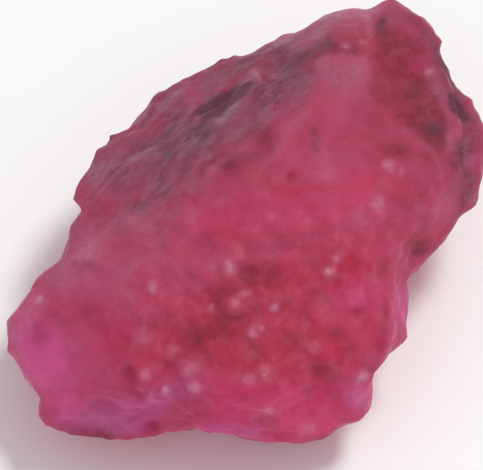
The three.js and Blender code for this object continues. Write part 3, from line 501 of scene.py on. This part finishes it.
stains["mica"] = dict(
    spots=[
        (2.4, 9.4, 0.3, 0.5), (3.6, 10.2, 0.4, 0.5), (6, 11, 0.3, 0.5), (-9.3, -1.9, 0.9, 0.45),
        (-7.9, 3.2, 0.7, 0.45), (2.2, 7.2, 0.6, 0.2), (-8.6, 0.2, 0.5, 0.2), (-3, 2.8, 0.7, 0.2),
        (-1.75, 4.2, 0.5, 0.25), (4, 10.2, 0.9, 0.2), (-3.75, 3, 0.4, 0.3), (-3.3, 6.75, 0.5, 0.2),
        (-2.8, 2.2, 0.5, 0.22), (-7.6, 3, 0.5, 0.4), (-0.6, 6, 0.3, 0.2), (0, 7.2, 0.3, 0.15),
        (3.4, 9.5, 0.35, 0.22), (11.4, 1.7, 0.35, 0.5), (6.5, 11.3, 0.4, 0.3), (2.8, 8.7, 0.6, 0.12),
        (5.4, 10.6, 0.6, 0.22), (-3.2, 3.2, 0.4, 0.12)],
    streaks=[
        ((-1.6, 5.2), (-0.15, 6.6), 0.2, 1), ((-5.9, 3.5), (-4.5, 4.25), 0.16, 1),
        ((-3.5, 3.5), (-2.1, 4.7), 0.16, 0.6), ((1.7, 9.5), (3.2, 10.3), 0.28, 0.7),
        ((-7.8, 2.9), (-6.4, 3.6), 0.2, 0.5), ((-4.6, 6.4), (-3, 7.2), 0.2, 0.4),
        ((-3.4, 2.4), (-1.4, 4), 0.14, 0.5), ((3.8, 10.9), (5.6, 11.1), 0.24, 0.5),
        ((-4.4, 5), (-2.6, 6), 0.2, 0.35), ((-2.6, 7.2), (-0.8, 8.2), 0.2, 0.35),
        ((-8.8, -1.8), (-2.6, -1.5), 1.2, 0.16), ((-6, 0.1), (-3.6, 1.2), 0.7, 0.32),
        ((-6.8, 3.9), (-3.8, 4.3), 0.8, 0.22)])
# magenta places, partly painted light: on the nose the blush stands for light glowing through the thin stone,
# and along the foot's lower edge it lightens where the surface turns down away from the lamps
stains["blush"] = dict(
    spots=[
        (-9.6, -5.6, 1, 0.4), (-0.5, -9, 1.2, 0.2), (11.5, 3.8, 0.3, 1), (7.85, -4, 0.5, 0.4),
        (5.7, -7.9, 0.8, 0.6)],
    streaks=[
        ((-11.2, -4.2), (-9.6, -7.6), 1.2, 1.2), ((-9.4, -8.8), (-7.6, -9.4), 1, 0.8),
        ((-8.6, -6.4), (-7.2, -8.4), 1.2, 0.32), ((-9.4, -2.6), (-6.4, -2), 0.8, 0.3),
        ((5, -3.2), (6, -3.4), 0.6, 0.4), ((7.7, -2.6), (7.9, -4.8), 0.4, 0.4),
        ((-8.6, -9.9), (-5, -10.2), 0.5, 0.6)])
# lilac places on the foot, partly painted light: they stand for light glowing through the thin lower edge and
# lighten it where it turns down away from the lamps
stains["lilac"] = dict(
    spots=[
        (-2.55, -7.6, 0.5, 0.3), (-2.9, -6.7, 0.4, 0.2), (5.8, -8.2, 0.7, 0.45), (5.9, -7.2, 0.4, 0.3),
        (-11.2, -4.2, 0.4, 0.5), (-8.8, -9.9, 0.4, 0.4), (7.9, -3.2, 0.25, 0.6), (-7.9, -1, 0.7, 0.25)],
    streaks=[
        ((-7.6, -9.1), (-4.4, -8.7), 0.6, 0.6), ((-5.2, -8.6), (-2.4, -7.5), 0.65, 0.55),
        ((-2.5, -9.6), (1, -10), 0.3, 0.7), ((-9, -9.9), (-5, -10.1), 0.6, 0.9)],
    patches=[
        ([(-8.8, -9.9), (-4.7, -10.2), (-3.9, -8.9), (-5.6, -8.3), (-7.8, -9)], 0.5, 0.25)])
worn = [  # where the schist film is worn off the crystal: right, up, radius, share
    (0.95, 7.9, 0.38, 0.9), (-5.5, 1.75, 0.26, 0.9), (-8.2, 1.9, 0.4, 0.4), (1.2, 6.6, 0.6, 0.25),
    (-4.75, 1.9, 0.5, 0.3), (10.6, 3.4, 0.3, 0.9), (-2.6, 6.9, 0.3, 0.4), (-6.5, 3.4, 0.6, 0.2),
    (11.1, 2.4, 0.4, 0.4), (-0.9, 3.5, 0.7, 0.4), (-5.8, 5.2, 0.5, 0.4)]
tinting = dict(
    sways=[(1.1, 0.16, 61), (0.45, 0.07, 67)],  # swells that roughen the edges: size, push, seed
    frontFrom=-0.5,  # the placed tints start this far out of the girdle's middle
    frontFull=1.0,  # and are whole from here
    clouds=[  # the back's tints: name, size, seed, start, whole, share
        ("milkAndHighlight", 2.3, 64, 0.7, 0.95, 0.5), ("red", 3.1, 65, 0.35, 0.75, 1.0),
        ("deep", 1.9, 63, 0.5, 0.85, 1.0), ("blush", 2.7, 71, 0.6, 0.9, 0.6),
        ("rose", 3.3, 73, 0.5, 0.8, 0.6)],
    duskClouds=(0.9, 66, 0.6, 0.9),  # size, seed, start, whole; only where schist coats it
    coat=0.85,  # how much of the crystal the schist's film hides
    waist=0.5,  # how wide the dark line round the girdle's middle is
    crest=0.3,  # the grain's height from the deepest gap to the highest crest
    drawn=0.4,  # the share of their length that the schist's flakes are wide
)


def patchSum(flat, rows):
    # flat patches: strength times an eased step of the depth inside the nearest of their sides
    total = np.zeros(len(flat))
    for corners, soft, strength in rows:
        corners = np.array(corners)
        along = np.roll(corners, -1, 0) - corners
        inward = np.stack([-along[:, 1], along[:, 0]], 1) / np.linalg.norm(along, axis=1)[:, None]
        depth = ((flat[:, None] - corners) * inward).sum(2).min(1)
        total += strength * ease(-soft, soft, depth)
    return total


def backCloud(places, size, seed, low, high):
    # clouds, 0 to 1: an eased step of the swells, brought to lie between 0 and 1
    return ease(low, high, 0.5 + 0.5 * swells(places / size, seed))


def tintShares(places, rough, coat, girdle, grain):
    # each tint's share: its spots, streaks and patches on the front, with edges pushed about by swells
    flat = places[:, :2].copy()
    for size, push, seed in tinting["sways"]:
        flat += push * np.stack([swells(places / size, seed), swells(places / size, seed + 1)], 1)
    front = ease(tinting["frontFrom"], tinting["frontFull"], places[:, 2])
    shares = {}
    for name, rows in stains.items():
        placed = spotSum(flat, rows["spots"]) + streakSum(flat, rows["streaks"])
        shares[name] = front * (placed + patchSum(flat, rows.get("patches", [])))
    # the back has the same tints in clouds
    back = 1 - front
    for name, size, seed, low, high, most in tinting["clouds"]:
        shares[name] += back * most * backCloud(places, size, seed, low, high)
    shares["dusk"] += back * coat * backCloud(places, *tinting["duskClouds"])
    uncovered = spotSum(flat, worn) * front
    shares["film"] = np.maximum(coat * tinting["coat"], shares["film"]) * (1 - uncovered)
    waist = np.exp(-(places[:, 2] / tinting["waist"]) ** 2) * girdle
    return dict(shares, waist=waist, broken=rough, crest=0.5 + grain / tinting["crest"])


def buildMesh(name, points, squares, shares, streaming):
    # the grid's points and squares as one closed mesh, with each tint's share and the way the coat streams
    mesh = bpy.data.meshes.new(name)
    mesh.from_pydata(points, [], squares.tolist())
    for tint, share in shares.items():
        mesh.attributes.new(tint, "FLOAT", "POINT").data.foreach_set("value", np.clip(share, 0, 1))
    mesh.attributes.new("streaming", "FLOAT_VECTOR", "POINT").data.foreach_set("vector", streaming.ravel())
    mesh.polygons.foreach_set("use_smooth", np.ones(len(squares), bool))
    mesh.update()
    piece = bpy.data.objects.new(name, mesh)
    bpy.context.collection.objects.link(piece)
    return piece


# places in mm along the schist's grain, across it and out, drawn together along it
grainTurn, drawn = relief["ledgeGrain"], tinting["drawn"]
streaming = onFace @ np.array([
    (np.cos(grainTurn) * drawn, -np.sin(grainTurn), 0),
    (np.sin(grainTurn) * drawn, np.cos(grainTurn), 0),
    (0, 0, 1)])

ruby = buildMesh("ruby", skin, squares, tintShares(onFace, rough, coat, girdle, grain), streaming)
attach(ruby, "root")
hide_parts("rough_ruby")
print("ruby: %d squares" % len(squares))


def tint(code, alpha=1.0):
    # a written colour as the linear one that shaders use, by the sRGB law
    parts = [int(code[n:n + 2], 16) / 255 for n in (1, 3, 5)]
    return [p / 12.92 if p <= 0.04045 else ((p + 0.055) / 1.055) ** 2.4 for p in parts] + [alpha]


def addNode(tree, kind, inputs=None, **settings):
    # a node with its settings and inputs; an input is a value or another node's output
    node = tree.nodes.new(kind)
    for name, value in settings.items():
        setattr(node, name, value)
    for name, value in (inputs or {}).items():
        if isinstance(value, bpy.types.NodeSocket):
            tree.links.new(value, node.inputs[name])
        else:
            node.inputs[name].default_value = value
    return node


def mixColours(tree, share, first, second):
    # a colour this share of the way from the first to the second
    node = addNode(tree, "ShaderNodeMix", {0: share, 6: first, 7: second}, data_type="RGBA")
    return node.outputs[2]


def maths(tree, operation, *values):
    # the result of one maths node
    return addNode(tree, "ShaderNodeMath", dict(enumerate(values)), operation=operation).outputs[0]


def openGroup(name, inputs, outputs):
    # an empty node group with a Place input, named numbers with their usual values, and its outputs
    group = bpy.data.node_groups.new(name, "ShaderNodeTree")
    face = group.interface
    face.new_socket("Place", in_out="INPUT", socket_type="NodeSocketVector")
    for socket, value in inputs.items():
        face.new_socket(socket, in_out="INPUT", socket_type="NodeSocketFloat").default_value = value
    for socket in outputs:
        face.new_socket(socket, in_out="OUTPUT", socket_type="NodeSocketFloat")
    return group, addNode(group, "NodeGroupInput").outputs


# the groups' own inputs and usual values; patches, grains, crumbs and dust are counted to a metre
cloudInputs = {"Patches": 500.0, "Low": 0.35, "High": 0.65, "Detail": 3.0, "Swirl": 0.6}
grainInputs = {"Grains": 1500.0, "Crumbs": 3600.0, "Dust": 9000.0, "Dust Share": 0.3}
grainLook = dict(
    grainRounding=0.6, crumbRounding=0.5,  # how softly neighbours run together
    crumbDepth=0.4,  # against the grains' depth of 1
    grainDetail=1.0, crumbDetail=1.5, dustDetail=3.0)  # layers of finer noise in each tone


def makeCloudGroup():
    # cloudy patches: swirled noise, spread from low to high
    group, way = openGroup("Crystal Clouds", cloudInputs, ["Share"])
    noise = addNode(group, "ShaderNodeTexNoise", {
        "Vector": way["Place"], "Scale": way["Patches"], "Detail": way["Detail"],
        "Distortion": way["Swirl"], "Roughness": 0.6})
    spread = addNode(group, "ShaderNodeMapRange", {
        "Value": noise.outputs["Fac"], "From Min": way["Low"], "From Max": way["High"]},
        interpolation_type="SMOOTHSTEP")
    addNode(group, "NodeGroupOutput", {"Share": spread.outputs["Result"]})
    return group


def makeGrainGroup():
    # broken grain: rounded grains with gaps between and finer dust as a height, and three sizes of tone
    group, way = openGroup("Broken Grain", grainInputs, ["Height", "Tone", "Fine Tone", "Dust Tone"])
    look = grainLook

    def gaps(size, rounding):
        return addNode(group, "ShaderNodeTexVoronoi", {
            "Vector": way["Place"], "Scale": way[size], "Smoothness": rounding},
            feature="SMOOTH_F1").outputs["Distance"]

    def tone(size, detail):
        return addNode(group, "ShaderNodeTexNoise", {
            "Vector": way["Place"], "Scale": way[size], "Detail": detail}).outputs["Fac"]

    dust = tone("Dust", look["dustDetail"])
    high = maths(group, "SUBTRACT", 1.0, gaps("Grains", look["grainRounding"]))
    crumbs = gaps("Crumbs", look["crumbRounding"])
    high = maths(group, "MULTIPLY_ADD", crumbs, -look["crumbDepth"], high)
    high = maths(group, "MULTIPLY_ADD", dust, way["Dust Share"], high)
    addNode(group, "NodeGroupOutput", {
        "Height": high, "Tone": tone("Grains", look["grainDetail"]),
        "Fine Tone": tone("Crumbs", look["crumbDetail"]), "Dust Tone": dust})
    return group


crystalClouds = makeCloudGroup()
brokenGrain = makeGrainGroup()


def clouds(tree, place, values):
    # the group of cloudy patches with its own values, in the order of cloudInputs
    inputs = dict(zip(cloudInputs, values), Place=place)
    return addNode(tree, "ShaderNodeGroup", inputs, node_tree=crystalClouds).outputs["Share"]


cloudyRuby = dict(
    # the tints: the milky one also paints glints, a sheen and light on the foot; rose, blush and lilac paint
    # light on the nose and foot; deep and dusk paint shade in places
    pink="#B8486D", red="#B4304E", rose="#CA3868", deep="#86293C", dusk="#643B49",
    milkAndHighlight="#CE8AA6", blush="#CC548C", lilac="#BE508C",
    film="#7A4054", filmPale="#88546A", filmDark="#663444", filmRed="#862E46",
    mica="#A0768A", waist="#74405A",
    # noise clouds on the crystal: patches to a metre, low, high, detail, swirl
    mottle=(420, 0.42, 0.62, 3.0, 0.6),
    fleck=(1400, 0.38, 0.66, 4.0, 0.6),
    flake=(3600, 0.38, 0.66, 2.0, 0.2),
    # and on the schist, patches to a mm
    strands=(0.9, 0.34, 0.64, 4.0, 0.3),
    threads=(4.5, 0.40, 0.66, 3.0, 0.2),
    micaFlakes=2.6,  # flakes to a mm
    micaBend=0.9,  # how far they are pushed about, mm
    micaStray=(2.4, 3.0),  # the noise that pushes them: patches to a mm, detail
    # ramps: from, to, and the value at each
    ramps=dict(
        dust=(0.4, 0.6, 0.0, 1.0),
        deepFleck=(0.0, 1.0, 0.76, 1.0),  # deep places are patchy
        darkGrain=(0.5, 0.3, 0.0, 0.14),
        # painted shade in the gaps between the grains
        gaps=(0.5, 0.05, 0.0, 0.28),
        paleGrain=(0.52, 0.68, 0.0, 0.09),
        paleWhere=(0.2, 1.0, 0.5, 1.0),
        # a painted highlight on the grains' crests
        crests=(0.5, 1.0, 0.0, 0.1),
        milkFlake=(0.0, 1.0, 0.7, 1.12),
        speckle=(0.38, 0.62, 0.0, 1.0),
        darkMica=(0.5, 0.1, 0.0, 0.6),
        redMica=(0.45, 0.9, 0.0, 0.8),
        paleMica=(0.55, 1.0, 0.0, 0.3),
        duskSpeckle=(0.0, 1.0, 0.85, 1.0),
        micaThreads=(0.0, 1.0, 0.45, 0.9),
        grainDepth=(0.3, 0.9, 0.4, 1.0),
        roughness=(0.0, 1.0, 0.42, 0.72)),
    mottleShare=0.45,  # how much red the mottle brings
    flakeShare=0.03, dustShare=0.025,  # how much milk flakes and dust bring
    strandShare=0.7,  # how far the pale strands hide the red flakes
    threadShare=0.1, speckleShare=0.15,  # how much mica threads and speckle bring
    filmGaps=0.25,  # how much the mottle thins the film
    waistShare=0.45,  # how dark the line round the girdle's middle is
    grainBump=(0.35, 0.1), threadBump=(0.25, 0.06),  # strength, and height in mm
    ior=1.77, shine=0.05,
    scatter=(0.2, 0.08, 0.1),  # how far red, green and blue light wander, mm
    glow="#A26288",  # what each skin lets through into the shadow
)


def makeCloudyRuby():
    # the crystal's tints laid over one another by their shares, the schist over them, and one shader
    look = cloudyRuby
    material = bpy.data.materials.new("Cloudy ruby")
    material.use_nodes = True
    tree = material.node_tree
    tree.nodes.clear()
    place = addNode(tree, "ShaderNodeTexCoord").outputs["Object"]
    streaming = addNode(tree, "ShaderNodeAttribute", attribute_name="streaming").outputs["Vector"]
    share = {name: addNode(tree, "ShaderNodeAttribute", attribute_name=name).outputs["Fac"]
             for name in (*stains, "waist", "broken", "crest")}
    grain = addNode(tree, "ShaderNodeGroup", {"Place": place}, node_tree=brokenGrain).outputs

    def blend(colour, amount, name):
        return mixColours(tree, amount, colour, tint(look[name]))

    def times(first, second):
        return maths(tree, "MULTIPLY", first, second)

    def plus(first, second):
        return maths(tree, "ADD", first, second)

    def less(value):
        return maths(tree, "SUBTRACT", 1.0, value)

    def ramp(value, name):
        # an eased way between two values
        start, end, first, last = look["ramps"][name]
        return addNode(tree, "ShaderNodeMapRange", {
            "Value": value, "From Min": start, "From Max": end, "To Min": first, "To Max": last},
            interpolation_type="SMOOTHSTEP").outputs["Result"]

    def bump(height, name, **below):
        strength, size = look[name]
        return addNode(tree, "ShaderNodeBump", {
            "Height": height, "Strength": strength, "Distance": size * mm, **below}).outputs["Normal"]

    mottle, fleck, flake = (clouds(tree, place, look[name]) for name in ("mottle", "fleck", "flake"))
    dust = ramp(grain["Dust Tone"], "dust")

    # crystal: pink with red clouds, then the rosy, blushing and lilac places, which are partly painted light
    # on the nose and foot
    redder = maths(tree, "MAXIMUM", share["red"], times(mottle, look["mottleShare"]))
    colour = mixColours(tree, redder, tint(look["pink"]), tint(look["red"]))
    for name in ("rose", "blush", "lilac"):
        colour = blend(colour, share[name], name)
    # deep red, partly painted shade in the pits, beside the peak and over the upper right
    colour = blend(colour, times(share["deep"], ramp(fleck, "deepFleck")), "deep")
    # broken grain: a random dark tone and painted shade in the gaps between the grains, then a random pale
    # tone and a painted highlight on their crests
    dark = times(ramp(grain["Tone"], "darkGrain"), share["broken"])
    gaps = times(ramp(share["crest"], "gaps"), share["broken"])
    colour = blend(colour, plus(dark, gaps), "deep")
    pale = times(ramp(grain["Tone"], "paleGrain"), ramp(share["broken"], "paleWhere"))
    # random pale tones, and a painted highlight on the crests
    paleAndCrestHighlight = times(ramp(share["crest"], "crests"), fleck)
    paleAndCrestHighlight = plus(paleAndCrestHighlight, plus(pale, times(flake, look["flakeShare"])))
    colour = blend(colour, times(paleAndCrestHighlight, less(share["deep"])), "milkAndHighlight")
    # the milky places, with their painted glints, sheen and light on the foot
    colour = blend(colour, times(share["milkAndHighlight"], ramp(flake, "milkFlake")), "milkAndHighlight")
    colour = blend(colour, times(dust, look["dustShare"]), "milkAndHighlight")
    # schist: a grey film of long mica flakes, each with its own tone, and fine threads over them
    strayScale, strayDetail = look["micaStray"]
    stray = addNode(tree, "ShaderNodeTexNoise", {
        "Vector": streaming, "Scale": strayScale, "Detail": strayDetail})
    bent = addNode(tree, "ShaderNodeVectorMath", {
        0: stray.outputs["Color"], 1: [look["micaBend"]] * 3, 2: streaming}, operation="MULTIPLY_ADD")
    flakes = addNode(tree, "ShaderNodeTexVoronoi", {
        "Vector": bent.outputs[0], "Scale": look["micaFlakes"]}, feature="F1")
    lots = addNode(tree, "ShaderNodeSeparateColor", {"Color": flakes.outputs["Color"]}).outputs
    strands, threads = (clouds(tree, streaming, look[name]) for name in ("strands", "threads"))
    speckle = ramp(grain["Fine Tone"], "speckle")
    film = mixColours(tree, strands, tint(look["film"]), tint(look["filmPale"]))
    film = blend(film, ramp(lots["Red"], "darkMica"), "filmDark")
    bare = less(times(strands, look["strandShare"]))
    film = blend(film, times(ramp(lots["Green"], "redMica"), bare), "filmRed")
    film = blend(film, ramp(lots["Blue"], "paleMica"), "mica")
    glints = plus(times(threads, look["threadShare"]), times(speckle, look["speckleShare"]))
    film = blend(film, glints, "mica")
    covered = times(share["film"], less(times(mottle, look["filmGaps"])))
    colour = mixColours(tree, covered, colour, film)
    # dark mauve, partly painted shade in the trough and beside the peak
    colour = blend(colour, times(share["dusk"], ramp(speckle, "duskSpeckle")), "dusk")
    colour = blend(colour, times(share["mica"], ramp(threads, "micaThreads")), "mica")
    colour = blend(colour, times(share["waist"], look["waistShare"]), "waist")

    rise = bump(times(grain["Height"], ramp(share["broken"], "grainDepth")), "grainBump")
    rise = bump(times(threads, share["film"]), "threadBump", Normal=rise)
    shader = addNode(tree, "ShaderNodeBsdfPrincipled", {
        "Base Color": colour, "Roughness": ramp(fleck, "roughness"), "Normal": rise,
        "IOR": look["ior"], "Specular IOR Level": look["shine"], "Subsurface Weight": 1.0,
        "Subsurface Radius": look["scatter"], "Subsurface Scale": mm})
    # light that falls through the stone tints its shadow
    glow = addNode(tree, "ShaderNodeBsdfTransparent", {"Color": tint(look["glow"])})
    shadowed = addNode(tree, "ShaderNodeLightPath").outputs["Is Shadow Ray"]
    surface = addNode(tree, "ShaderNodeMixShader", {
        0: shadowed, 1: shader.outputs["BSDF"], 2: glow.outputs["BSDF"]})
    addNode(tree, "ShaderNodeOutputMaterial", {"Surface": surface.outputs["Shader"]})
    return material


ruby.data.materials.append(makeCloudyRuby())
print("material: cloudy ruby")


studio = dict(
    floorSide=3.0, floorColour="#F9FBFC", floorRoughness=0.9, floorShine=0.1,
    sky="#FFFFFF", skyStrength=0.485,
    lights=dict(  # from where, in face right, away and up; side, power, colour
        key=((0.42, 0.18, 1.0), 0.1, 0.88, "#FFFBF9"),
        fill=((-0.3, -1.1, 0.8), 0.4, 0.22, "#FFF9FB"),
    ),
    lightDistance=0.4,
)


def makeFloor():
    # a flat square under the stone
    half = studio["floorSide"] / 2
    mesh = bpy.data.meshes.new("floor")
    corners = [(-half, -half, 0), (half, -half, 0), (half, half, 0), (-half, half, 0)]
    mesh.from_pydata(corners, [], [(0, 1, 2, 3)])
    floor = bpy.data.objects.new("floor", mesh)
    bpy.context.collection.objects.link(floor)
    material = bpy.data.materials.new("Pale paper")
    material.use_nodes = True
    shader = material.node_tree.nodes["Principled BSDF"]
    shader.inputs["Base Color"].default_value = tint(studio["floorColour"])
    shader.inputs["Roughness"].default_value = studio["floorRoughness"]
    shader.inputs["Specular IOR Level"].default_value = studio["floorShine"]
    mesh.materials.append(material)


def makeLights():
    # square lamps that look at the heart, and an even sky
    away = np.array([-np.sin(turn), np.cos(turn), 0])
    for name, (where, side, power, colour) in studio["lights"].items():
        back = where[0] * faceRight + where[1] * away + where[2] * np.array([0, 0, 1])
        back = Vector(back).normalized()
        data = bpy.data.lights.new(name, "AREA")
        data.size, data.energy, data.color = side, power, tint(colour)[:3]
        lamp = bpy.data.objects.new(name, data)
        lamp.location = Vector(heart) + back * studio["lightDistance"]
        lamp.rotation_euler = back.to_track_quat("Z", "Y").to_euler()
        bpy.context.collection.objects.link(lamp)
    world = bpy.data.worlds.new("Pale room")
    world.use_nodes = True
    sky = world.node_tree.nodes["Background"].inputs
    sky["Color"].default_value = tint(studio["sky"])
    sky["Strength"].default_value = studio["skyStrength"]
    bpy.context.scene.world = world


photo = dict(width=483, height=470, heart=(245.0, 233.0), pixelsPerMm=19.87)  # heart: its pixel
camera = dict(lens=800.0, sensor=36.0, clip=(0.05, 100.0))  # clip: in shares of the distance


def makeCamera():
    # straight along the face's own out direction, so far that the picture's width fits the sensor
    data = bpy.data.cameras.new("camera")
    data.lens, data.sensor_width = camera["lens"], camera["sensor"]
    wide = photo["width"] / photo["pixelsPerMm"] * mm
    distance = wide * camera["lens"] / camera["sensor"]
    shiftRight = (photo["width"] / 2 - photo["heart"][0]) / photo["pixelsPerMm"] * mm
    shiftUp = (photo["heart"][1] - photo["height"] / 2) / photo["pixelsPerMm"] * mm
    target = heart + shiftRight * faceRight + shiftUp * faceUp
    data.clip_start, data.clip_end = (distance * share for share in camera["clip"])
    eye = bpy.data.objects.new("camera", data)
    eye.location = Vector(target + faceOut * distance)
    eye.rotation_euler = Vector(faceOut).to_track_quat("Z", "Y").to_euler()
    bpy.context.collection.objects.link(eye)
    bpy.context.scene.camera = eye


makeFloor()
makeLights()
makeCamera()
bpy.context.scene.view_settings.view_transform = "Standard"
print("studio: floor, lights and camera")
